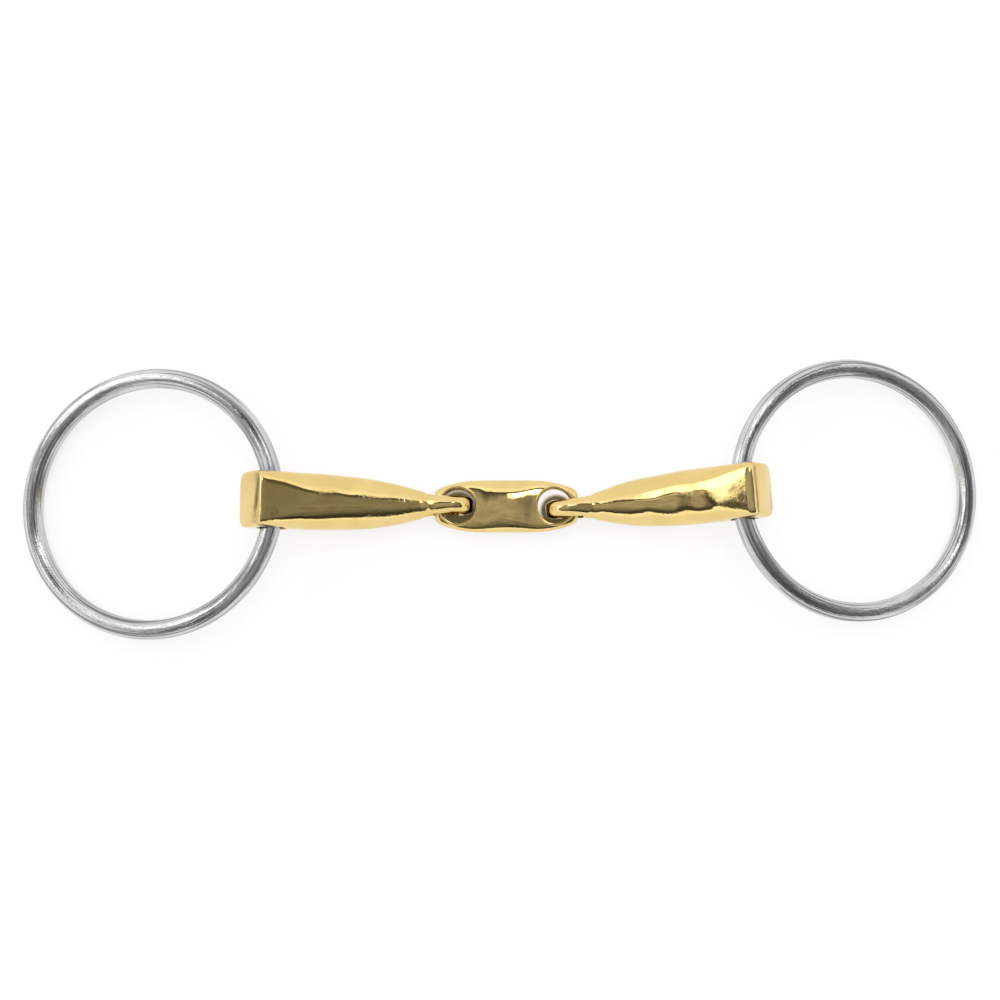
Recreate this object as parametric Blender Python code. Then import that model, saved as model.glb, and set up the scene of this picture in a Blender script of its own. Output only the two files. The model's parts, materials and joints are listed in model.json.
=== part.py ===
"""Loose-ring snaffle bit with a double-jointed mouthpiece.

Five real pieces: a centre link, two cannons hooked through it, and two
loose rings. +X runs along the mouthpiece, +Y across it, +Z is up, and
the bit lies on z = 0. All lengths are metres.
"""
import math

import bmesh
import bpy
from mathutils import Matrix, Vector

MM = 0.001

# rings
RING_OUTER_DIAMETER = 70.0 * MM
WIRE_DIAMETER = 5.2 * MM
RING_SEGMENTS = 88
WIRE_SEGMENTS = 14

# fits
BORE_CLEARANCE = 1.1 * MM          # wire radius to bore radius
EYE_CLEARANCE = 0.30 * MM          # link face to lower eye leg
EYE_SIDE_CLEARANCE = 0.35 * MM     # eye tip to the wall of the link hole
EYE_TOP_CLEARANCE = 0.50 * MM      # link face to upper eye leg
EYE_END_CLEARANCE = 0.85 * MM      # link corner to the root of the eye

# centre link
LINK_LENGTH = 37.8 * MM
LINK_HEIGHT = 13.9 * MM
LINK_THICKNESS = 5.0 * MM
LINK_CROWN = 2.0 * MM
LINK_HOLE_DIAMETER = 9.0 * MM
LINK_HOLE_SPACING = 25.3 * MM
LINK_LIP = 0.10 * MM
LIP_WIDTH = 0.8 * MM

# cannons
CANNON_LENGTH = 51.85 * MM          # link hole centre to end face
CANNON_HEIGHT = 14.9 * MM          # largest size across, Y
CANNON_DEPTH = 13.2 * MM           # largest size through, Z
BORE_FROM_END = 5.15 * MM
BOW_START = 3.0 * MM
BOW_RISE = 10.4 * MM                # rise of the spine at the bore
END_TILT = math.radians(4.8)
EYE_LEG = 2.8 * MM
EYE_WIDTH = 5.4 * MM
EYE_ROUND = 1.1                    # length of the rounded eye end, in eye legs
BELL_MOUTH = 0.55 * MM
EYE_FLAT = 0.15 * MM               # small flat ground under each eye

# lying pose
LEFT_FOLD = math.radians(-0.6)
RIGHT_FOLD = math.radians(4.5)
LEFT_EYE_SHIFT = (0.2 * MM, -0.2 * MM)     # eye off the hole centre, out and across
RIGHT_EYE_SHIFT = (1.6 * MM, -0.9 * MM)
LEFT_RING_TURN = math.radians(1.0)         # ring turned across in its loose bore
RIGHT_RING_TURN = math.radians(-2.3)

# sizes that follow from the ones above
WIRE_RADIUS = WIRE_DIAMETER / 2
RING_RADIUS = RING_OUTER_DIAMETER / 2 - WIRE_RADIUS
BORE_RADIUS = WIRE_RADIUS + BORE_CLEARANCE
RING_SAG = RING_RADIUS - math.sqrt(RING_RADIUS ** 2 - (CANNON_HEIGHT / 2) ** 2)
RING_OFFSET = RING_SAG / 2
LINK_HALF = LINK_THICKNESS / 2 + LINK_LIP
EYE_INNER_RADIUS = LINK_HALF + (EYE_CLEARANCE + EYE_TOP_CLEARANCE) / 2
EYE_OUTER_RADIUS = EYE_INNER_RADIUS + EYE_LEG
EYE_TIP = LINK_HOLE_DIAMETER / 2 - EYE_SIDE_CLEARANCE
LINK_REACH = (LINK_LENGTH - LINK_HOLE_SPACING) / 2
LINK_CORNER = math.hypot(LINK_REACH - 0.4 * MM, 0.284 * LINK_HEIGHT)
EYE_ROOT = LINK_CORNER + EYE_END_CLEARANCE
BORE_AT = CANNON_LENGTH - BORE_FROM_END
BOW_RATE = BOW_RISE / (BORE_AT - BOW_START) ** 2
LINK_LEVEL = (EYE_CLEARANCE - EYE_TOP_CLEARANCE) / 2
FLOOR_LEVEL = EYE_FLAT - EYE_OUTER_RADIUS
RING_DROP = math.asin((BOW_RISE - FLOOR_LEVEL - WIRE_RADIUS)
                      / (2 * RING_RADIUS - RING_OFFSET))

# cannon outline: fraction of the length past the eye root, fraction of
# the largest height, fraction of the largest depth, squareness
CANNON_SECTIONS = (
    (0.000, 0.475, 0.740, 2.3),
    (0.047, 0.525, 0.722, 2.3),
    (0.093, 0.595, 0.720, 2.3),
    (0.140, 0.672, 0.738, 2.3),
    (0.192, 0.745, 0.772, 2.3),
    (0.249, 0.815, 0.815, 2.3),
    (0.311, 0.872, 0.862, 2.3),
    (0.384, 0.918, 0.912, 2.4),
    (0.467, 0.957, 0.955, 2.5),
    (0.560, 0.988, 0.985, 2.6),
    (0.654, 1.000, 1.000, 2.7),
    (0.737, 1.000, 1.000, 3.0),
    (0.809, 0.998, 0.995, 3.6),
    (0.882, 0.993, 0.985, 4.6),
    (0.935, 0.990, 0.980, 5.4),
    (0.970, 0.986, 0.975, 5.8),
    (0.990, 0.978, 0.965, 5.8),
    (0.997, 0.962, 0.948, 5.4),
    (1.000, 0.940, 0.925, 5.0),
)

# link outline: distance from the end as a fraction of the half length,
# fraction of the half height, fraction of the half thickness, squareness
LINK_SECTIONS = (
    (0.000, 0.360, 0.42, 2.6),
    (0.008, 0.480, 0.60, 2.8),
    (0.024, 0.585, 0.78, 3.0),
    (0.055, 0.660, 0.92, 3.0),
    (0.095, 0.715, 1.00, 3.0),
    (0.150, 0.775, 1.00, 3.0),
    (0.250, 0.855, 1.00, 3.0),
    (0.370, 0.930, 1.00, 3.0),
    (0.500, 0.975, 1.00, 2.9),
    (0.620, 0.992, 1.06, 2.6),
    (0.780, 1.000, 1.26, 2.3),
    (0.900, 1.000, 1.37, 2.2),
    (1.000, 1.000, 1.40, 2.2),
)


def clear_scene():
    for item in list(bpy.data.objects):
        bpy.data.objects.remove(item, do_unlink=True)


def make_collection(name):
    collection = bpy.data.collections.new(name)
    bpy.context.scene.collection.children.link(collection)
    return collection


def make_material(name, colour, roughness):
    material = bpy.data.materials.new(name)
    material.use_nodes = True
    shader = material.node_tree.nodes["Principled BSDF"]
    shader.inputs["Base Color"].default_value = (*colour, 1.0)
    shader.inputs["Metallic"].default_value = 1.0
    shader.inputs["Roughness"].default_value = roughness
    material.diffuse_color = (*colour, 1.0)
    return material


def finish_mesh(bm, name, collection, material=None):
    bmesh.ops.remove_doubles(bm, verts=bm.verts, dist=1e-6)
    bmesh.ops.recalc_face_normals(bm, faces=bm.faces)
    mesh = bpy.data.meshes.new(name)
    bm.to_mesh(mesh)
    bm.free()
    item = bpy.data.objects.new(name, mesh)
    collection.objects.link(item)
    if material is not None:
        mesh.materials.append(material)
    return item


def superellipse(half_y, half_z, power, count):
    points = []
    for index in range(count):
        angle = 2 * math.pi * (index + 0.5) / count
        c = math.cos(angle)
        s = math.sin(angle)
        y = half_y * math.copysign(abs(c) ** (2 / power), c)
        z = half_z * math.copysign(abs(s) ** (2 / power), s)
        points.append((y, z))
    return points


def loft(sections):
    """Skin closed sections that all have the same number of points."""
    bm = bmesh.new()
    loops = [[bm.verts.new(point) for point in section] for section in sections]
    count = len(loops[0])
    for near, far in zip(loops, loops[1:]):
        for index in range(count):
            after = (index + 1) % count
            bm.faces.new((near[index], near[after], far[after], far[index]))
    for loop in (loops[0], loops[-1]):
        bm.faces.new(loop)
    return bm


def revolve(profile, steps):
    """Spin (radius, height) points about +Z into a closed cutter."""
    bm = bmesh.new()
    verts = [bm.verts.new((radius, 0.0, height)) for radius, height in profile]
    edges = [bm.edges.new(pair) for pair in zip(verts, verts[1:])]
    bmesh.ops.spin(bm, geom=verts + edges, axis=(0, 0, 1), cent=(0, 0, 0),
                   angle=2 * math.pi, steps=steps, use_merge=True,
                   use_duplicate=False)
    return bm


def bell_profile(radius, half_length, mouth):
    """Straight hole whose two rims open out in a quarter round."""
    over = 1.0 * MM
    steps = (0.0, 0.25, 0.5, 0.75, 1.0)
    upper = []
    for step in steps:
        angle = step * math.pi / 2
        upper.append((radius + mouth * (1 - math.cos(angle)),
                      half_length - mouth + mouth * math.sin(angle)))
    upper.append((radius + mouth, half_length + over))
    lower = [(r, -h) for r, h in reversed(upper)]
    return [(0.0, -half_length - over)] + lower + upper + [(0.0, half_length + over)]


def block(low, high):
    bm = bmesh.new()
    bmesh.ops.create_cube(bm, size=1.0)
    for vert in bm.verts:
        for axis in range(3):
            middle = (low[axis] + high[axis]) / 2
            vert.co[axis] = middle + vert.co[axis] * (high[axis] - low[axis])
    return bm


def spine(distance):
    """Centre (x, z) of the cannon at a distance from the link hole."""
    past = max(0.0, distance - BOW_START)
    return distance, BOW_RATE * past ** 2


def spine_angle(distance):
    past = max(0.0, distance - BOW_START)
    angle = math.atan(2 * BOW_RATE * past)
    turn = (distance - BORE_AT) / BORE_FROM_END
    return angle + END_TILT * min(1.0, max(0.0, turn))


def cannon_section(distance, half_y, half_z, power, count):
    x, z = spine(distance)
    angle = spine_angle(distance)
    points = []
    for y, up in superellipse(half_y, half_z, power, count):
        points.append((x - up * math.sin(angle), y, z + up * math.cos(angle)))
    return points


def eye_half_width(distance):
    """Half width of the eye, from its tip to its root."""
    root_half = CANNON_SECTIONS[0][1] * CANNON_HEIGHT / 2
    along = (distance + EYE_TIP) / (EYE_ROOT + EYE_TIP)
    blend = max(0.0, min(1.0, (along - 0.35) / 0.65))
    blend = blend * blend * (3 - 2 * blend)
    return EYE_WIDTH / 2 + (root_half - EYE_WIDTH / 2) * blend


def cannon_blank(count):
    """Solid body of the cannon, eye included, before any hole."""
    sections = []
    tip_centre = EYE_OUTER_RADIUS - EYE_TIP
    for degrees in (4, 14, 26, 40, 55, 72, 90):
        angle = math.radians(degrees)
        x = tip_centre - EYE_OUTER_RADIUS * math.cos(angle)
        half_z = EYE_OUTER_RADIUS * math.sin(angle)
        inset = min(1.0, (x + EYE_TIP) / (EYE_ROUND * EYE_LEG))
        round_off = math.sqrt(1 - (1 - inset) ** 2)
        half_y = eye_half_width(x) * (0.35 + 0.65 * round_off)
        sections.append(cannon_section(x, half_y, half_z, 2.2, count))
    root_half_z = CANNON_SECTIONS[0][2] * CANNON_DEPTH / 2
    for step in (0.35, 0.7):
        x = tip_centre + (EYE_ROOT - tip_centre) * step
        half_z = EYE_OUTER_RADIUS + (root_half_z - EYE_OUTER_RADIUS) * step
        sections.append(cannon_section(x, eye_half_width(x), half_z, 2.2, count))
    for along, high, deep, power in CANNON_SECTIONS:
        distance = EYE_ROOT + (CANNON_LENGTH - EYE_ROOT) * along
        sections.append(cannon_section(
            distance, high * CANNON_HEIGHT / 2, deep * CANNON_DEPTH / 2,
            power, count))
    return loft(sections)


def eye_cutter(count):
    """Long hole through the eye, opening out at both sides."""
    near = EYE_INNER_RADIUS - EYE_TIP + EYE_LEG
    far = EYE_ROOT - EYE_INNER_RADIUS
    sections = []
    for level in (-1.6, -1.0, -0.75, -0.5, -0.25, 0.0, 0.25, 0.5, 0.75, 1.0, 1.6):
        y = level * EYE_WIDTH / 2
        flare = EYE_LEG * 0.34 * abs(level) ** 2.2
        radius = EYE_INNER_RADIUS + flare
        points = []
        for index in range(count):
            angle = 2 * math.pi * (index + 0.5) / count
            centre = far if math.cos(angle) > 0 else near
            points.append((centre + radius * math.cos(angle), y,
                           radius * math.sin(angle)))
        sections.append(points)
    return loft(sections)


def cut(item, cutter, cutters):
    """Apply one exact Boolean difference and park the cutter."""
    modifier = item.modifiers.new("cut", "BOOLEAN")
    modifier.operation = "DIFFERENCE"
    modifier.solver = "EXACT"
    modifier.object = cutter
    bpy.context.view_layer.update()
    graph = bpy.context.evaluated_depsgraph_get()
    mesh = bpy.data.meshes.new_from_object(item.evaluated_get(graph))
    item.modifiers.clear()
    old = item.data
    item.data = mesh
    bpy.data.meshes.remove(old)
    cutter.display_type = "WIRE"
    cutter.hide_render = True


def shade(item, degrees):
    bm = bmesh.new()
    bm.from_mesh(item.data)
    bmesh.ops.remove_doubles(bm, verts=bm.verts, dist=2e-6)
    bmesh.ops.triangulate(bm, faces=[f for f in bm.faces if len(f.verts) > 4])
    bm.to_mesh(item.data)
    bm.free()
    item.data.shade_smooth()
    item.data.set_sharp_from_angle(angle=math.radians(degrees))


def make_cannon(name, shift, parts, cutters, material):
    """One cannon; its origin is on the link hole's axis."""
    item = finish_mesh(cannon_blank(36), name, parts, material)
    eye = finish_mesh(eye_cutter(32), name + "_eye_cutter", cutters)
    cut(item, eye, cutters)
    profile = bell_profile(BORE_RADIUS, CANNON_HEIGHT / 2, BELL_MOUTH)
    bore = finish_mesh(revolve(profile, 32), name + "_bore_cutter", cutters)
    x, z = spine(BORE_AT)
    turn = Matrix.Rotation(math.radians(90), 4, "X")
    bore.data.transform(Matrix.Translation((x, 0.0, z)) @ turn)
    cut(item, bore, cutters)
    under = block((-EYE_TIP - MM, -CANNON_HEIGHT, FLOOR_LEVEL - MM),
                  (EYE_ROOT, CANNON_HEIGHT, FLOOR_LEVEL))
    flat = finish_mesh(under, name + "_flat_cutter", cutters)
    cut(item, flat, cutters)
    item.data.transform(Matrix.Translation((*shift, 0.0)))
    shade(item, 32)
    item.data.name = name
    return item


def make_link(name, parts, cutters, material):
    """Crowned plate with two eyes and a low raised lip at each hole."""
    sections = []
    half = LINK_LENGTH / 2
    rows = [(-1, row) for row in LINK_SECTIONS]
    rows += [(1, row) for row in reversed(LINK_SECTIONS[:-1])]
    crown = 1 + LINK_CROWN / LINK_THICKNESS
    for side, (along, high, thick, power) in rows:
        x = side * half * (1 - along)
        if thick > 1:
            thick = 1 + (thick - 1) * (crown - 1) / 0.4
        points = superellipse(high * LINK_HEIGHT / 2,
                              thick * LINK_THICKNESS / 2, power, 36)
        sections.append([(x, y, z) for y, z in points])
    item = finish_mesh(loft(sections), name, parts, material)
    for side in (-1, 1):
        x = side * LINK_HOLE_SPACING / 2
        radius = LINK_HOLE_DIAMETER / 2
        rim = radius + LIP_WIDTH
        bpy.ops.mesh.primitive_cylinder_add(
            vertices=40, radius=rim, depth=2 * LINK_HALF, location=(x, 0, 0))
        lip = bpy.context.active_object
        lip.name = f"{name}_lip_{side + 1}"
        for old in list(lip.users_collection):
            old.objects.unlink(lip)
        cutters.objects.link(lip)
        union = item.modifiers.new("lip", "BOOLEAN")
        union.operation = "UNION"
        union.solver = "EXACT"
        union.object = lip
        bpy.context.view_layer.update()
        graph = bpy.context.evaluated_depsgraph_get()
        mesh = bpy.data.meshes.new_from_object(item.evaluated_get(graph))
        item.modifiers.clear()
        item.data = mesh
        lip.display_type = "WIRE"
        lip.hide_render = True
        profile = bell_profile(radius, LINK_HALF, BELL_MOUTH)
        hole = finish_mesh(revolve(profile, 40), f"{name}_hole_{side + 1}", cutters)
        hole.data.transform(Matrix.Translation((x, 0.0, 0.0)))
        cut(item, hole, cutters)
    shade(item, 32)
    item.data.name = name
    return item


def make_ring(name, parts, material):
    """Closed round wire; its origin is on the bore axis."""
    bpy.ops.mesh.primitive_torus_add(
        major_radius=RING_RADIUS, minor_radius=WIRE_RADIUS,
        major_segments=RING_SEGMENTS, minor_segments=WIRE_SEGMENTS)
    item = bpy.context.active_object
    item.name = name
    item.data.name = name
    for old in list(item.users_collection):
        old.objects.unlink(item)
    parts.objects.link(item)
    item.data.transform(Matrix.Translation((RING_RADIUS - RING_OFFSET, 0, 0)))
    item.data.materials.append(material)
    item.data.shade_smooth()
    return item


def world_box(items):
    bpy.context.view_layer.update()
    corners = []
    for item in items:
        for vert in item.data.vertices:
            corners.append(item.matrix_world @ vert.co)
    low = Vector([min(corner[axis] for corner in corners) for axis in range(3)])
    high = Vector([max(corner[axis] for corner in corners) for axis in range(3)])
    return low, high


def build():
    clear_scene()
    parts = make_collection("snaffle_bit")
    cutters = make_collection("cutters")
    gold = (0.80, 0.60, 0.28)
    steel = (0.62, 0.62, 0.63)

    link = make_link("centre_link", parts, cutters,
                     make_material("centre_link", gold, 0.16))
    items = [link]
    poses = (("left", LEFT_FOLD, LEFT_EYE_SHIFT, LEFT_RING_TURN),
             ("right", RIGHT_FOLD, RIGHT_EYE_SHIFT, RIGHT_RING_TURN))
    for side, fold, shift, ring_turn in poses:
        sign = 1 if side == "right" else -1
        cannon = make_cannon(f"cannon_{side}", shift, parts, cutters,
                             make_material(f"cannon_{side}", gold, 0.16))
        ring = make_ring(f"ring_{side}", parts,
                         make_material(f"ring_{side}", steel, 0.12))
        facing = 0.0 if side == "right" else math.pi
        cannon.parent = link
        cannon.location = (sign * LINK_HOLE_SPACING / 2, 0.0, -LINK_LEVEL)
        cannon.rotation_euler = (0.0, 0.0, facing + fold)
        x, z = spine(BORE_AT)
        ring.parent = cannon
        ring.location = (x + shift[0], shift[1], z)
        ring.data.transform(Matrix.Rotation(ring_turn, 4, "Z"))
        ring.rotation_euler = (0.0, RING_DROP, 0.0)
        items += [cannon, ring]

    low, high = world_box(items)
    middle = (low + high) / 2
    link.location = (-middle.x, -middle.y, -low.z)
    bpy.context.view_layer.update()
    for item in cutters.objects:
        item.location = (0.0, 0.0, -0.2)


build()
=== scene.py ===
"""Looks for the loose-ring snaffle bit: finer meshes, polished metal, light and camera."""
import json
import math

import bmesh
import bpy
import numpy as np
from mathutils import Matrix, Vector


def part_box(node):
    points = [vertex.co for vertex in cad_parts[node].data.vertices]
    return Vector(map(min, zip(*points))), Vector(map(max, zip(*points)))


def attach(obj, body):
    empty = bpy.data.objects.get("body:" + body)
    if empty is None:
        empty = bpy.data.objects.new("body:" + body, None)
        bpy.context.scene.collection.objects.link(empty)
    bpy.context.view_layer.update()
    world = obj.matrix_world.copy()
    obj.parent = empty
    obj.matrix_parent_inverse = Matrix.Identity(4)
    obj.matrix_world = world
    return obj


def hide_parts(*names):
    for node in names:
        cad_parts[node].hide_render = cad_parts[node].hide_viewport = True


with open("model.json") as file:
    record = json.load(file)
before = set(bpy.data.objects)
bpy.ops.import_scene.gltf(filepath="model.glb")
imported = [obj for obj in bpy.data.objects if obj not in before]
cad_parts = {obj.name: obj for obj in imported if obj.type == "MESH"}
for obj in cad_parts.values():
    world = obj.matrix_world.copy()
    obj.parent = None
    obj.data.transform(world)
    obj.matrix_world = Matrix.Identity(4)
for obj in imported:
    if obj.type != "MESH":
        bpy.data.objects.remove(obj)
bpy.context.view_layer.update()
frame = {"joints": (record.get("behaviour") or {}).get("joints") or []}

MM = 0.001

# the CAD model's sizes
RING_OUTER_DIAMETER = 70.0 * MM
WIRE_DIAMETER = 5.2 * MM
BORE_CLEARANCE = 1.1 * MM
EYE_CLEARANCE = 0.30 * MM
EYE_SIDE_CLEARANCE = 0.35 * MM
EYE_TOP_CLEARANCE = 0.50 * MM
EYE_END_CLEARANCE = 0.85 * MM
LINK_LENGTH = 37.8 * MM
LINK_HEIGHT = 13.9 * MM
LINK_THICKNESS = 5.0 * MM
LINK_CROWN = 2.0 * MM
LINK_HOLE_DIAMETER = 9.0 * MM
LINK_HOLE_SPACING = 25.3 * MM
LINK_LIP = 0.10 * MM
LIP_WIDTH = 0.8 * MM
CANNON_LENGTH = 51.85 * MM
CANNON_HEIGHT = 14.9 * MM
CANNON_DEPTH = 13.2 * MM
BORE_FROM_END = 5.15 * MM
BOW_START = 3.0 * MM
BOW_RISE = 10.4 * MM
END_TILT = math.radians(4.8)
EYE_LEG = 2.8 * MM
EYE_WIDTH = 5.4 * MM
EYE_ROUND = 1.1                    # length of the rounded eye end, in eye legs
BELL_MOUTH = 0.55 * MM
EYE_FLAT = 0.15 * MM

WIRE_RADIUS = WIRE_DIAMETER / 2
RING_RADIUS = RING_OUTER_DIAMETER / 2 - WIRE_RADIUS
BORE_RADIUS = WIRE_RADIUS + BORE_CLEARANCE
RING_SAG = RING_RADIUS - math.sqrt(RING_RADIUS ** 2 - (CANNON_HEIGHT / 2) ** 2)
RING_OFFSET = RING_SAG / 2
LINK_HALF = LINK_THICKNESS / 2 + LINK_LIP
EYE_INNER_RADIUS = LINK_HALF + (EYE_CLEARANCE + EYE_TOP_CLEARANCE) / 2
EYE_OUTER_RADIUS = EYE_INNER_RADIUS + EYE_LEG
EYE_TIP = LINK_HOLE_DIAMETER / 2 - EYE_SIDE_CLEARANCE
LINK_REACH = (LINK_LENGTH - LINK_HOLE_SPACING) / 2
LINK_CORNER = math.hypot(LINK_REACH - 0.4 * MM, 0.284 * LINK_HEIGHT)
EYE_ROOT = LINK_CORNER + EYE_END_CLEARANCE
BORE_AT = CANNON_LENGTH - BORE_FROM_END
BOW_RATE = BOW_RISE / (BORE_AT - BOW_START) ** 2
FLOOR_LEVEL = EYE_FLAT - EYE_OUTER_RADIUS
RING_DROP = math.asin((BOW_RISE - FLOOR_LEVEL - WIRE_RADIUS)
                      / (2 * RING_RADIUS - RING_OFFSET))
EYE_SHIFT = {"left": (0.2 * MM, -0.2 * MM), "right": (1.6 * MM, -0.9 * MM)}
RING_TURN = {"left": math.radians(1.0), "right": math.radians(-2.3)}
END_WEAR = {"left": 0.0, "right": 1.0}     # how rounded the end of each block is
WAVE_DEPTH = 0.024                 # share of a section that the hand finish may take off
WAVE_SHIFT = {"left": 1.0, "right": 2.3}   # shifts the waves, so the sides differ
WAVE_START = 4.0 * MM              # from the eye's root to the first waves
WAVE_RAMP = 8.0 * MM               # from there to their full depth
NECK_DIP = 0.13                    # share of the depth taken off behind the eye
NECK_DIP_AT = 1.2 * MM             # middle of that dip, from the eye's root
NECK_DIP_REACH = 2.6 * MM
# dents worn into the upper side: along, across, radius, depth
DENTS = {
    "left": (
        (38.0 * MM, 0.9 * MM, 3.2 * MM, 0.10 * MM),
        (32.5 * MM, 1.2 * MM, 1.6 * MM, 0.06 * MM),
        (27.0 * MM, -0.8 * MM, 2.4 * MM, 0.07 * MM),
        (35.0 * MM, -3.2 * MM, 2.6 * MM, 0.12 * MM),
        (42.0 * MM, -1.0 * MM, 2.4 * MM, 0.06 * MM),
    ),
    "right": (
        (39.5 * MM, -1.4 * MM, 3.4 * MM, 0.17 * MM),
        (31.0 * MM, -2.6 * MM, 3.0 * MM, 0.14 * MM),
        (24.0 * MM, 1.0 * MM, 3.0 * MM, 0.08 * MM),
    ),
}
SKIN = 0.06 * MM                   # how far a visible surface lies inside its solid
RING_SKIN = 0.08 * MM
LIP_FILLET = 0.3 * MM              # rounds the outer edge of the lip round a hole

# share of the length, of the height, of the depth, and squareness
CANNON_SECTIONS = (
    (0.000, 0.475, 0.740, 2.3),
    (0.047, 0.525, 0.722, 2.3),
    (0.093, 0.595, 0.720, 2.3),
    (0.140, 0.672, 0.738, 2.3),
    (0.192, 0.745, 0.772, 2.3),
    (0.249, 0.815, 0.815, 2.3),
    (0.311, 0.872, 0.862, 2.3),
    (0.384, 0.918, 0.912, 2.4),
    (0.467, 0.957, 0.955, 2.5),
    (0.560, 0.988, 0.985, 2.6),
    (0.654, 1.000, 1.000, 2.7),
    (0.737, 1.000, 1.000, 3.0),
    (0.809, 0.998, 0.995, 3.6),
    (0.882, 0.993, 0.985, 4.6),
    (0.935, 0.990, 0.980, 5.4),
    (0.970, 0.986, 0.975, 5.8),
    (0.990, 0.978, 0.965, 5.8),
    (0.997, 0.962, 0.948, 5.4),
    (1.000, 0.940, 0.925, 5.0),
)
# share of half the length, of the height, of the thickness, and squareness
LINK_SECTIONS = (
    (0.000, 0.360, 0.42, 2.6),
    (0.008, 0.480, 0.60, 2.8),
    (0.024, 0.585, 0.78, 3.0),
    (0.055, 0.660, 0.92, 3.0),
    (0.095, 0.715, 1.00, 3.0),
    (0.150, 0.775, 1.00, 3.0),
    (0.250, 0.855, 1.00, 3.0),
    (0.370, 0.930, 1.00, 3.0),
    (0.500, 0.975, 1.00, 2.9),
    (0.620, 0.992, 1.06, 2.6),
    (0.780, 1.000, 1.26, 2.3),
    (0.900, 1.000, 1.37, 2.2),
    (1.000, 1.000, 1.40, 2.2),
)

CANNON_ROUND = 120
CANNON_ALONG = 150
LINK_ROUND = 120
RING_AROUND = 256
WIRE_AROUND = 40
EYE_SQUARENESS = 2.2               # of the eye's own sections
POLISHED_ROUND = 0.4               # how much rounder polishing left the sections
SHARP_ANGLE = 30                   # degrees between faces that makes an edge sharp


# ---------------------------------------------------------------- meshes

def smooth_through(xs, ys, wanted):
    """Monotone cubic through the points (xs, ys)."""
    xs = np.asarray(xs, float)
    ys = np.asarray(ys, float)
    step = np.diff(xs)
    rise = np.diff(ys) / step
    slope = np.zeros(len(xs))
    for i in range(1, len(xs) - 1):
        if rise[i - 1] * rise[i] > 0:
            before = 2 * step[i] + step[i - 1]
            after = step[i] + 2 * step[i - 1]
            slope[i] = (before + after) / (before / rise[i - 1] + after / rise[i])
    slope[0] = rise[0]
    slope[-1] = rise[-1]
    wanted = np.asarray(wanted, float)
    spot = np.clip(np.searchsorted(xs, wanted) - 1, 0, len(xs) - 2)
    t = (wanted - xs[spot]) / step[spot]
    width = step[spot]
    return ((2 * t ** 3 - 3 * t ** 2 + 1) * ys[spot]
            + (t ** 3 - 2 * t ** 2 + t) * width * slope[spot]
            + (3 * t ** 2 - 2 * t ** 3) * ys[spot + 1]
            + (t ** 3 - t ** 2) * width * slope[spot + 1])


def superellipse(half_y, half_z, power, count):
    """Points of a rounded box; power 2 is an ellipse, and more is squarer."""
    points = []
    for index in range(count):
        angle = 2 * math.pi * (index + 0.5) / count
        c = math.cos(angle)
        s = math.sin(angle)
        y = half_y * math.copysign(abs(c) ** (2 / power), c)
        z = half_z * math.copysign(abs(s) ** (2 / power), s)
        points.append((y, z))
    return points


def loft(sections):
    """Closed skin over the sections, with a flat face at each end."""
    bm = bmesh.new()
    loops = [[bm.verts.new(point) for point in section] for section in sections]
    count = len(loops[0])
    for near, far in zip(loops, loops[1:]):
        for index in range(count):
            after = (index + 1) % count
            bm.faces.new((near[index], near[after], far[after], far[index]))
    for loop in (loops[0], loops[-1]):
        bm.faces.new(loop)
    return bm


def revolve(profile, steps):
    """Turns a profile of (radius, height) points round the Z axis."""
    bm = bmesh.new()
    verts = [bm.verts.new((radius, 0.0, height)) for radius, height in profile]
    edges = [bm.edges.new(pair) for pair in zip(verts, verts[1:])]
    bmesh.ops.spin(bm, geom=verts + edges, axis=(0, 0, 1), cent=(0, 0, 0),
                   angle=2 * math.pi, steps=steps, use_merge=True,
                   use_duplicate=False)
    return bm


def finish_mesh(bm, name):
    bmesh.ops.remove_doubles(bm, verts=bm.verts, dist=1e-6)
    bmesh.ops.recalc_face_normals(bm, faces=bm.faces)
    mesh = bpy.data.meshes.new(name)
    bm.to_mesh(mesh)
    bm.free()
    item = bpy.data.objects.new(name, mesh)
    bpy.context.scene.collection.objects.link(item)
    return item


def bell_profile(radius, half_length, mouth):
    """Profile of a hole's cutter, flared at both mouths and 1 mm too long."""
    over = 1.0 * MM
    upper = []
    for index in range(13):
        angle = index / 12 * math.pi / 2
        upper.append((radius + mouth * (1 - math.cos(angle)),
                      half_length - mouth + mouth * math.sin(angle)))
    upper.append((radius + mouth, half_length + over))
    lower = [(r, -h) for r, h in reversed(upper)]
    return [(0.0, -half_length - over)] + lower + upper + [(0.0, half_length + over)]


def boolean(item, tool, operation="DIFFERENCE"):
    modifier = item.modifiers.new("cut", "BOOLEAN")
    modifier.operation = operation
    modifier.solver = "EXACT"
    modifier.object = tool
    bpy.context.view_layer.update()
    graph = bpy.context.evaluated_depsgraph_get()
    mesh = bpy.data.meshes.new_from_object(item.evaluated_get(graph))
    item.modifiers.clear()
    item.data = mesh
    bpy.data.objects.remove(tool, do_unlink=True)


def shade(item):
    """Closes hairline gaps left by the cuts, then smooths all but sharp edges."""
    bm = bmesh.new()
    bm.from_mesh(item.data)
    bmesh.ops.remove_doubles(bm, verts=bm.verts, dist=4e-6)
    bmesh.ops.dissolve_degenerate(bm, edges=bm.edges, dist=2e-6)
    bm.to_mesh(item.data)
    bm.free()
    item.data.shade_smooth()
    item.data.set_sharp_from_angle(angle=math.radians(SHARP_ANGLE))


def spine(distance):
    """The middle line's x and z, at a distance from the eye's pivot."""
    past = max(0.0, distance - BOW_START)
    return distance, BOW_RATE * past ** 2


def spine_angle(distance):
    """The middle line's slope, with the block's own tilt past the bore."""
    past = max(0.0, distance - BOW_START)
    angle = math.atan(2 * BOW_RATE * past)
    turn = (distance - BORE_AT) / BORE_FROM_END
    return angle + END_TILT * min(1.0, max(0.0, turn))


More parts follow.
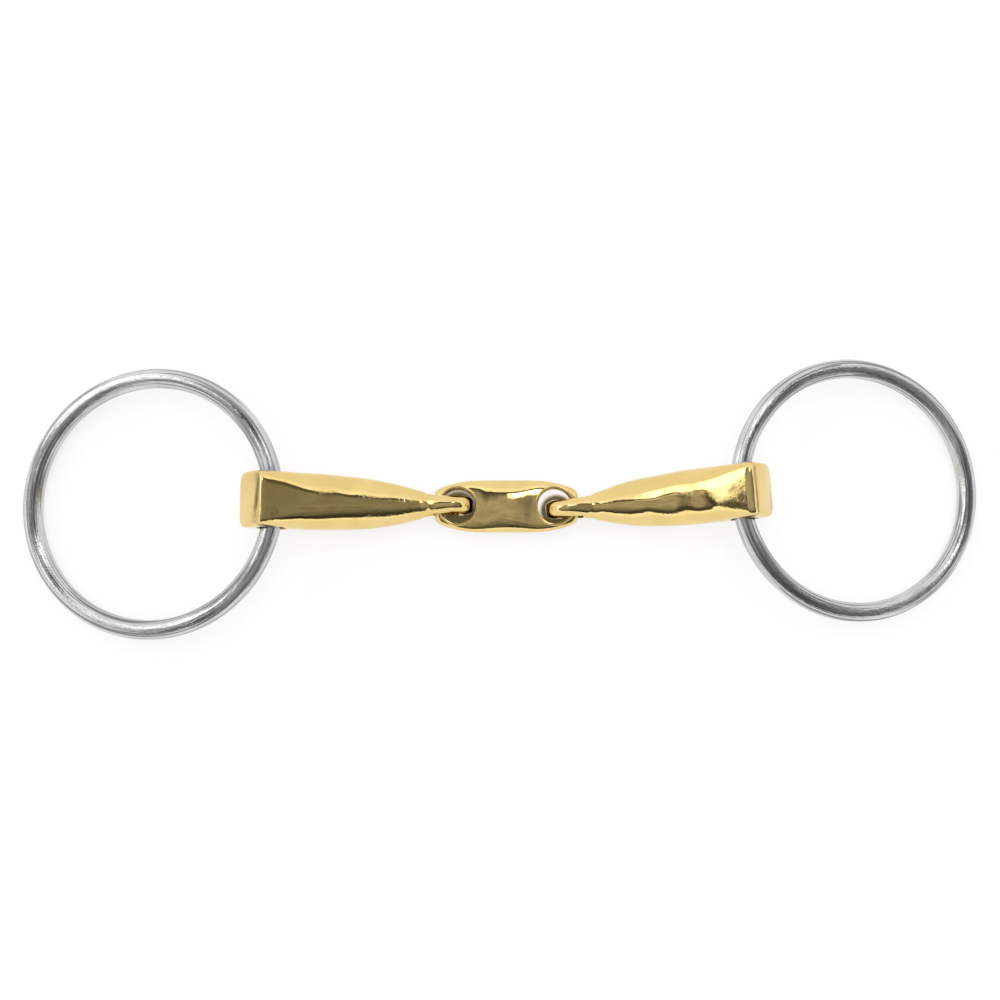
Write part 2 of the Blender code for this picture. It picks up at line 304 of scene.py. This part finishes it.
def hand_finish(distance, around, side):
    """Share of the section that filing and polishing took off, 0 to WAVE_DEPTH."""
    seed = WAVE_SHIFT[side]
    along = distance / MM
    wave = (math.sin(0.38 * along + 2.0 * around + 1.7 * seed)
            + 0.5 * math.sin(0.57 * along - 2.0 * around + 2.9 * seed)
            + 0.9 * math.sin(0.23 * along + 3.0 * around + 0.8 * seed))
    start = min(1.0, max(0.0, (distance - EYE_ROOT - WAVE_START) / WAVE_RAMP))
    return WAVE_DEPTH * start * (0.5 + 0.5 * wave / 2.4)


def cannon_section(distance, half_y, half_z, power, side):
    """One section of a cannon, square to its bowed middle line."""
    apart = (distance - EYE_ROOT - NECK_DIP_AT) / NECK_DIP_REACH
    half_z *= 1 - NECK_DIP * math.exp(-apart * apart)
    x, z = spine(distance)
    angle = spine_angle(distance)
    points = []
    outline = superellipse(half_y - SKIN, half_z - SKIN, power, CANNON_ROUND)
    for index, (y, up) in enumerate(outline):
        keep = 1 - hand_finish(distance, 2 * math.pi * index / CANNON_ROUND, side)
        y *= keep
        up *= keep
        if up > 0:
            for at, across, radius, depth in DENTS[side]:
                apart = math.hypot(distance - at, y - across) / radius
                up -= depth * math.exp(-apart * apart)
        points.append((x - up * math.sin(angle), y, z + up * math.cos(angle)))
    return points


def eye_half_width(distance):
    """Half the eye's width, which widens into the cannon's root."""
    root_half = CANNON_SECTIONS[0][1] * CANNON_HEIGHT / 2
    along = (distance + EYE_TIP) / (EYE_ROOT + EYE_TIP)
    blend = max(0.0, min(1.0, (along - 0.35) / 0.65))
    blend = blend * blend * (3 - 2 * blend)
    return EYE_WIDTH / 2 + (root_half - EYE_WIDTH / 2) * blend


def cannon_blank(side):
    """The cannon before its eye and bore are cut, from the eye outwards."""
    soft = END_WEAR[side]
    sections = []
    tip_centre = EYE_OUTER_RADIUS - EYE_TIP
    for index in range(22):
        angle = math.radians(3 + 87 * index / 21)
        x = tip_centre - (EYE_OUTER_RADIUS - SKIN) * math.cos(angle)
        half_z = EYE_OUTER_RADIUS * math.sin(angle)
        inset = min(1.0, (x + EYE_TIP) / (EYE_ROUND * EYE_LEG))
        round_off = math.sqrt(max(0.0, 1 - (1 - inset) ** 2))
        half_y = eye_half_width(x) * (0.35 + 0.65 * round_off)
        sections.append(cannon_section(x, half_y, half_z, EYE_SQUARENESS, side))
    root_half_z = CANNON_SECTIONS[0][2] * CANNON_DEPTH / 2
    for index in range(1, 12):
        step = index / 12
        x = tip_centre + (EYE_ROOT - tip_centre) * step
        half_z = EYE_OUTER_RADIUS + (root_half_z - EYE_OUTER_RADIUS) * step
        sections.append(cannon_section(x, eye_half_width(x), half_z,
                                       EYE_SQUARENESS, side))
    table = np.array(CANNON_SECTIONS)
    places = 1 - (1 - np.linspace(0, 1, CANNON_ALONG)) ** 1.15
    high = smooth_through(table[:, 0], table[:, 1], places)
    deep = smooth_through(table[:, 0], table[:, 2], places)
    power = smooth_through(table[:, 0], table[:, 3], places)
    power -= POLISHED_ROUND * np.clip((0.95 - places) / 0.2, 0, 1)
    for along, h, d, p in zip(places, high, deep, power):
        worn = soft * max(0.0, (along - 0.955) / 0.045) ** 2
        h *= 1 - 0.05 * worn
        d *= 1 - 0.10 * worn
        distance = EYE_ROOT + (CANNON_LENGTH - EYE_ROOT) * along
        sections.append(cannon_section(
            distance, h * CANNON_HEIGHT / 2, d * CANNON_DEPTH / 2, p, side))
    return loft(sections)


def eye_cutter():
    """The hole that the link's end bar passes through, flared to both sides."""
    near = EYE_INNER_RADIUS - EYE_TIP + EYE_LEG
    far = EYE_ROOT - EYE_INNER_RADIUS
    sections = []
    count = 96
    for level in np.linspace(-1.6, 1.6, 49):
        y = level * EYE_WIDTH / 2
        flare = EYE_LEG * 0.34 * abs(level) ** 2.2
        radius = EYE_INNER_RADIUS + flare
        points = []
        for index in range(count):
            angle = 2 * math.pi * (index + 0.5) / count
            centre = far if math.cos(angle) > 0 else near
            points.append((centre + radius * math.cos(angle), y,
                           radius * math.sin(angle)))
        sections.append(points)
    return loft(sections)


def make_cannon(name, place, side):
    item = finish_mesh(cannon_blank(side), name)
    boolean(item, finish_mesh(eye_cutter(), name + "_eye"))
    bore = finish_mesh(
        revolve(bell_profile(BORE_RADIUS, CANNON_HEIGHT / 2, BELL_MOUTH), 72),
        name + "_bore")
    x, z = spine(BORE_AT)
    turn = Matrix.Rotation(math.radians(90), 4, "X")
    bore.data.transform(Matrix.Translation((x, 0.0, z)) @ turn)
    boolean(item, bore)
    bm = bmesh.new()
    bmesh.ops.create_cube(bm, size=40 * MM)
    bm.transform(Matrix.Translation((0, 0, FLOOR_LEVEL - 20 * MM)))
    boolean(item, finish_mesh(bm, name + "_flat"))
    shade(item)
    item.data.transform(place)
    return item


def make_link(name, place):
    half = LINK_LENGTH / 2 - SKIN
    table = np.array(LINK_SECTIONS)
    places = np.linspace(0, 1, 90) ** 1.6
    high = smooth_through(table[:, 0], table[:, 1], places)
    thick = smooth_through(table[:, 0], table[:, 2], places)
    power = smooth_through(table[:, 0], table[:, 3], places)
    table = np.stack([places, high, thick, power], axis=1)
    rows = [(-1, *row) for row in table] + [(1, *row) for row in table[-2::-1]]
    sections = []
    for side, along, h, t, p in rows:
        if t > 1:
            t = 1 + (t - 1) * (LINK_CROWN / LINK_THICKNESS) / 0.4
        x = side * half * (1 - along)
        points = superellipse(h * LINK_HEIGHT / 2 - SKIN,
                              t * LINK_THICKNESS / 2 - SKIN, p, LINK_ROUND)
        sections.append([(x, y, z) for y, z in points])
    item = finish_mesh(loft(sections), name)
    for side in (-1, 1):
        x = side * LINK_HOLE_SPACING / 2
        radius = LINK_HOLE_DIAMETER / 2
        rim = radius + LIP_WIDTH
        edge = LINK_HALF - SKIN
        profile = [(0.0, -edge)]
        for index in range(9):
            angle = index / 8 * math.pi / 2
            profile.append((rim - LIP_FILLET + LIP_FILLET * math.sin(angle),
                            -edge + LIP_FILLET * (1 - math.cos(angle))))
        profile += [(r, -h) for r, h in reversed(profile)]
        lip = finish_mesh(revolve(profile, 96), name + "_lip")
        lip.data.transform(Matrix.Translation((x, 0, 0)))
        boolean(item, lip, "UNION")
        hole = finish_mesh(revolve(bell_profile(radius, LINK_HALF, BELL_MOUTH), 96),
                           name + "_hole")
        hole.data.transform(Matrix.Translation((x, 0, 0)))
        boolean(item, hole)
    shade(item)
    item.data.transform(place)
    return item


def make_ring(name, place):
    bpy.ops.mesh.primitive_torus_add(
        major_radius=RING_RADIUS, minor_radius=WIRE_RADIUS - RING_SKIN,
        major_segments=RING_AROUND, minor_segments=WIRE_AROUND)
    item = bpy.context.active_object
    item.name = name
    item.data.name = name
    item.data.transform(Matrix.Translation((RING_RADIUS - RING_OFFSET, 0, 0)))
    item.data.shade_smooth()
    item.data.transform(place)
    return item


# ------------------------------------------------------------- materials

class Nodes:
    """Short calls for building a node tree."""

    def __init__(self, tree):
        self.tree = tree

    def add(self, kind, **settings):
        node = self.tree.nodes.new(kind)
        for key, value in settings.items():
            setattr(node, key, value)
        return node

    def feed(self, socket, value):
        if isinstance(value, bpy.types.NodeSocket):
            self.tree.links.new(value, socket)
        else:
            socket.default_value = value

    def math(self, operation, *values, clamp=False):
        node = self.add("ShaderNodeMath", operation=operation, use_clamp=clamp)
        for socket, value in zip(node.inputs, values):
            self.feed(socket, value)
        return node.outputs[0]

    def vector(self, operation, *values):
        node = self.add("ShaderNodeVectorMath", operation=operation)
        for socket, value in zip(node.inputs, values):
            self.feed(socket, value)
        return node.outputs["Value" if operation in ("LENGTH", "DISTANCE") else 0]

    def step(self, value, low, high, to_low=0.0, to_high=1.0):
        node = self.add("ShaderNodeMapRange", interpolation_type="SMOOTHSTEP")
        for key, what in (("Value", value), ("From Min", low), ("From Max", high),
                          ("To Min", to_low), ("To Max", to_high)):
            self.feed(node.inputs[key], what)
        return node.outputs[0]

    def noise(self, vector, scale, detail=3.0, rough=0.5):
        node = self.add("ShaderNodeTexNoise")
        self.feed(node.inputs["Vector"], vector)
        node.inputs["Scale"].default_value = scale
        node.inputs["Detail"].default_value = detail
        node.inputs["Roughness"].default_value = rough
        return node.outputs[0]

    def mix(self, factor, first, second):
        node = self.add("ShaderNodeMix", data_type="RGBA")
        self.feed(node.inputs[0], factor)
        self.feed(node.inputs[6], first)
        self.feed(node.inputs[7], second)
        return node.outputs[2]


RECESS_REACH = 4.0 * MM            # how far off a surface has to be to get no painted shade
RECESS_SHADE_SHARE = 0.22                     # share of the darker colour painted into a recess as shade
DULL = 0.42                        # share of the darker colour left in a drawn wire's dull streaks
FLECK_DEPTH = 0.024 * MM
FLECK_ROUGHNESS = 0.2


def metal(name, light, dark, rough_low, rough_high, wave, grain, fleck,
          drawn=0.0):
    """Polished metal, with shade painted darker into its recesses.

    wave is the height of the hand-finished waviness and grain that of the fine pits
    and scratches, in metres. fleck, 0 to 1, is how strong the worn flecks are, and
    drawn is the height of the lines along a drawn wire, which needs UVs.
    """
    material = bpy.data.materials.new(name)
    material.use_nodes = True
    kit = Nodes(material.node_tree)
    shader = material.node_tree.nodes["Principled BSDF"]
    where = kit.add("ShaderNodeTexCoord").outputs["Object"]
    broad = kit.noise(where, 120.0, 2.0)
    fine = kit.noise(where, 1600.0, 4.0, 0.6)
    squash = kit.add("ShaderNodeMapping")
    kit.feed(squash.inputs["Vector"], where)
    squash.inputs["Scale"].default_value = (180.0, 3200.0, 3200.0)
    scratch = kit.noise(squash.outputs[0], 1.0, 2.0, 0.6)
    colour = kit.mix(kit.step(broad, 0.35, 0.65), (*light, 1), (*dark, 1))
    # painted shade: ambient occlusion darkens the colour in holes, creases and recesses
    hollow = kit.add("ShaderNodeAmbientOcclusion", samples=8)
    hollow.inputs["Distance"].default_value = RECESS_REACH
    recess_shade = kit.step(hollow.outputs["AO"], 0.25, 0.75, 1.0, 0.0)
    colour = kit.mix(recess_shade, colour, (*[RECESS_SHADE_SHARE * part for part in dark], 1))
    shader.inputs["Metallic"].default_value = 1.0
    rough = kit.step(kit.math("ADD", kit.math("MULTIPLY", broad, 0.5),
                              kit.math("MULTIPLY", fine, 0.5)),
                     0.35, 0.65, rough_low, rough_high)
    worn = kit.step(kit.noise(where, 75.0, 2.0), 0.45, 0.56)
    patch = kit.step(worn, 0.0, 1.0, 0.4, 5.0)
    flecks = kit.step(kit.noise(where, 1100.0, 3.0), 0.51, 0.61)
    flecks = kit.math("MULTIPLY", flecks, worn)
    rough = kit.math("ADD", rough, kit.math("MULTIPLY", flecks, FLECK_ROUGHNESS * fleck))
    pits = kit.math("MULTIPLY", kit.math("MULTIPLY", fine, grain), patch)
    pits = kit.math("SUBTRACT", pits, kit.math("MULTIPLY", flecks, FLECK_DEPTH * fleck))
    height = kit.math("ADD", kit.math("MULTIPLY", broad, wave), pits)
    height = kit.math("ADD", height, kit.math("MULTIPLY", scratch, grain * 0.5))
    if drawn:
        wire = kit.add("ShaderNodeMapping")
        kit.feed(wire.inputs["Vector"], kit.add("ShaderNodeTexCoord").outputs["UV"])
        wire.inputs["Scale"].default_value = (10.0, 38.0, 1.0)
        lines = kit.noise(wire.outputs[0], 1.0, 4.0, 0.65)
        height = kit.math("ADD", height, kit.math("MULTIPLY", lines, drawn))
        rubbed = kit.step(kit.noise(wire.outputs[0], 0.6, 1.0), 0.48, 0.62)
        rough = kit.math("ADD", rough, kit.math("MULTIPLY", rubbed, 0.05))
        dull = kit.step(kit.noise(wire.outputs[0], 0.5, 2.0), 0.49, 0.58)
        colour = kit.mix(dull, colour, (*[DULL * part for part in dark], 1))
    kit.feed(shader.inputs["Base Color"], colour)
    kit.feed(shader.inputs["Roughness"], rough)
    bump = kit.add("ShaderNodeBump")
    bump.inputs["Strength"].default_value = 1.0
    bump.inputs["Distance"].default_value = 1.0
    kit.feed(bump.inputs["Height"], height)
    kit.feed(shader.inputs["Normal"], bump.outputs[0])
    return material


def dress(item, node, body, material):
    """Puts the visible piece on its body, in place of its CAD node."""
    item.data.materials.clear()
    item.data.materials.append(material)
    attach(item, body)
    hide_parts(node)


joints = {joint["name"]: joint for joint in frame["joints"]}
ALLOY = (0.83, 0.63, 0.262)
gold = {
    "left": metal("left_cannon_alloy", ALLOY, (0.78, 0.575, 0.222),
                  0.05, 0.12, 0.00006, 0.000004, 0.35),
    "right": metal("right_cannon_alloy", ALLOY, (0.79, 0.585, 0.23),
                   0.05, 0.10, 0.00006, 0.000003, 0.15),
}
plate = metal("link_alloy", ALLOY, (0.80, 0.595, 0.24),
              0.05, 0.09, 0.00003, 0.0000015, 0.0)
steel = metal("ring_steel", (0.66, 0.66, 0.665), (0.57, 0.57, 0.575),
              0.03, 0.07, 0.00003, 0.000003, 0.0, drawn=0.00012)

link_low, link_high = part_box("centre_link")
link_place = Matrix.Translation((link_low + link_high) / 2)
dress(make_link("link_plate", link_place), "centre_link", "link",
      plate)
for side in ("left", "right"):
    fold = joints[f"{side}_cannon_fold"]
    swing = joints[f"{side}_ring_swing"]
    across = Vector(swing["axis"]).normalized()
    outward = across.cross(Vector((0, 0, 1)))
    turn = Matrix((outward, across, (0, 0, 1))).transposed().to_4x4()
    cannon_place = (Matrix.Translation(fold["pos_m"]) @ turn
                    @ Matrix.Translation((*EYE_SHIFT[side], 0.0)))
    cannon = make_cannon(f"cannon_{side}_arm", cannon_place, side)
    dress(cannon, f"cannon_{side}", f"{side}_cannon", gold[side])
    ring_place = (Matrix.Translation(swing["pos_m"]) @ turn
                  @ Matrix.Rotation(RING_DROP, 4, "Y")
                  @ Matrix.Rotation(RING_TURN[side], 4, "Z"))
    ring = make_ring(f"ring_{side}_wire", ring_place)
    dress(ring, f"ring_{side}", f"{side}_ring", steel)

# ------------------------------------------------- floor, light, camera

FLOOR_GREY = (0.22, 0.22, 0.22, 1)
FLOOR_GLOW = 0.76
SHADE_BROWN = (0.16, 0.13, 0.07, 1)    # the floor in the shade under the link's holes
SHADE_GLOW = 0.04
SHADE_GLOW_COLOUR = (0.8, 0.6, 0.25, 1)
# side, shift towards +X and -Y, and where the shade starts and stops fading
SHADES = ((-1, 0.0, 3.6 * MM, 5.8 * MM), (1, 0.7 * MM, 3.4 * MM, 5.0 * MM))
SKY_LIMIT = 0.05                   # keeps the flat map finite below the horizon

floor_mesh = bmesh.new()
bmesh.ops.create_grid(floor_mesh, x_segments=1, y_segments=1, size=3.0)
floor = finish_mesh(floor_mesh, "floor")
paper = bpy.data.materials.new("floor")
paper.use_nodes = True
paper_shader = paper.node_tree.nodes["Principled BSDF"]
paper_kit = Nodes(paper.node_tree)
spot = paper_kit.add("ShaderNodeTexCoord").outputs["Object"]
open_air = 1.0
for side, shift, near, far in SHADES:
    under = (link_low + link_high) / 2 + Vector(
        (side * LINK_HOLE_SPACING / 2 + shift, -shift, 0))
    apart = paper_kit.vector("DISTANCE", spot, (under.x, under.y, 0.0))
    clear = paper_kit.step(apart, near, far)
    open_air = paper_kit.math("MULTIPLY", open_air, clear)
paper_kit.feed(paper_shader.inputs["Base Color"],
               paper_kit.mix(open_air, SHADE_BROWN, FLOOR_GREY))
paper_shader.inputs["Roughness"].default_value = 1.0
paper_shader.inputs["Specular IOR Level"].default_value = 0.0
paper_kit.feed(paper_shader.inputs["Emission Color"],
               paper_kit.mix(open_air, SHADE_GLOW_COLOUR, (1, 1, 1, 1)))
paper_kit.feed(paper_shader.inputs["Emission Strength"],
               paper_kit.step(open_air, 0.0, 1.0, SHADE_GLOW, FLOOR_GLOW))
floor.data.materials.append(paper)

world = bpy.data.worlds.new("studio")
bpy.context.scene.world = world
world.use_nodes = True
sky = Nodes(world.node_tree)
backdrop = world.node_tree.nodes["Background"]
facing = sky.add("ShaderNodeTexCoord").outputs["Generated"]
split = sky.add("ShaderNodeSeparateXYZ")
sky.feed(split.inputs[0], facing)
DX, DY, DZ = split.outputs
# a flat map of the upper half: distance from its middle is 2 tan(angle / 2)
lower = sky.math("ADD", DZ, 1.0)
lower = sky.math("MAXIMUM", lower, SKY_LIMIT)
PX = sky.math("DIVIDE", sky.math("MULTIPLY", DX, 2.0), lower)
PY = sky.math("DIVIDE", sky.math("MULTIPLY", DY, 2.0), lower)
flat = sky.add("ShaderNodeCombineXYZ")
sky.feed(flat.inputs[0], PX)
sky.feed(flat.inputs[1], PY)
MAP = flat.outputs[0]


def panel(cx, cy, half_x, half_y, turn, soft):
    """Soft-edged bright rectangle on the flat map."""
    node = sky.add("ShaderNodeMapping", vector_type="TEXTURE")
    sky.feed(node.inputs["Vector"], MAP)
    node.inputs["Location"].default_value = (cx, cy, 0)
    node.inputs["Rotation"].default_value = (0, 0, math.radians(turn))
    parts = sky.add("ShaderNodeSeparateXYZ")
    sky.feed(parts.inputs[0], node.outputs[0])
    masks = []
    for socket, half in ((parts.outputs[0], half_x), (parts.outputs[1], half_y)):
        away = sky.math("ABSOLUTE", socket)
        masks.append(sky.step(away, half - soft, half + soft, 1.0, 0.0))
    return sky.math("MULTIPLY", *masks)


# a dim field overhead with an uneven edge, a dark line at that edge, bright all round
wobble = sky.math("MULTIPLY", sky.math("SUBTRACT", sky.noise(MAP, 1.5, 2.0), 0.5), 0.35)
distance = sky.vector("DISTANCE", sky.vector("MULTIPLY", MAP, (0.95, 1.0, 1.0)),
                      (0.20, -0.35, 0.0))
distance = sky.math("ADD", distance, wobble)
streaks = sky.noise(MAP, 5.0, 4.0, 0.6)
inner = sky.step(PY, -0.95, -0.30, 0.11, 0.43)
inner = sky.math("ADD", inner, sky.step(streaks, 0.30, 0.70, -0.08, 0.10))
inner = sky.math("MULTIPLY", inner, sky.step(PX, 0.08, 0.42, 1.0, 0.6))
shadow = sky.step(distance, 0.70, 0.92)
inner = sky.math("MULTIPLY", inner, sky.step(shadow, 0.0, 1.0, 1.0, 0.3))
outer = sky.step(distance, 1.03, 1.35, 1.30, 1.04)
edge = sky.step(distance, 0.97, 1.00)
level = sky.math("ADD", sky.math("MULTIPLY", inner, sky.math("SUBTRACT", 1.0, edge)),
                 sky.math("MULTIPLY", outer, edge))
# each mask replaces what is under it: two bright panels, then the dark line
line = sky.math("MULTIPLY", sky.step(distance, 0.88, 0.92),
                sky.math("SUBTRACT", 1.0, edge))
for mask, power in ((panel(-0.80, 0.34, 0.20, 0.30, 6.0, 0.08), 2.9),
                    (panel(0.20, 0.44, 0.13, 0.11, 15.0, 0.05), 4.5),
                    (line, 0.06)):
    keep = sky.math("SUBTRACT", 1.0, mask)
    level = sky.math("ADD", sky.math("MULTIPLY", level, keep),
                     sky.math("MULTIPLY", mask, power))
sky.feed(backdrop.inputs["Strength"], level)
backdrop.inputs["Color"].default_value = (1, 1, 1, 1)

lamp_data = bpy.data.lights.new("overhead", "AREA")
lamp_data.shape = "DISK"
lamp_data.size = 1.2
lamp_data.energy = 9.0
lamp = bpy.data.objects.new("overhead", lamp_data)
lamp.location = (0.0, 0.0, 1.2)
lamp.visible_glossy = False
lamp.visible_camera = False
bpy.context.scene.collection.objects.link(lamp)

CAMERA_DISTANCE = 0.45
CAMERA_FRONT = math.radians(5.6)   # how far the camera stands towards -Y
CAMERA_TURN = math.radians(4.0)    # its axis is turned towards +X, and shifted back
aim = (link_low + link_high) / 2 + Vector((-0.0017, 0.0017, 0.0))
away = Vector((0.0, -math.sin(CAMERA_FRONT), math.cos(CAMERA_FRONT)))
camera_data = bpy.data.cameras.new("camera")
camera_data.lens = 61.5
camera_data.sensor_width = 36.0
camera_data.clip_start = 0.01
camera_data.shift_x = -math.tan(CAMERA_TURN) * camera_data.lens / camera_data.sensor_width
camera = bpy.data.objects.new("camera", camera_data)
sideways = Vector((1, 0, 0))
forward = math.cos(CAMERA_TURN) * -away + math.sin(CAMERA_TURN) * sideways
right = math.cos(CAMERA_TURN) * sideways + math.sin(CAMERA_TURN) * away
upward = right.cross(forward)
camera.matrix_world = (Matrix.Translation(aim + away * CAMERA_DISTANCE)
                       @ Matrix((right, upward, -forward)).transposed().to_4x4())
bpy.context.scene.collection.objects.link(camera)
bpy.context.scene.camera = camera
bpy.context.scene.view_settings.view_transform = "Standard"
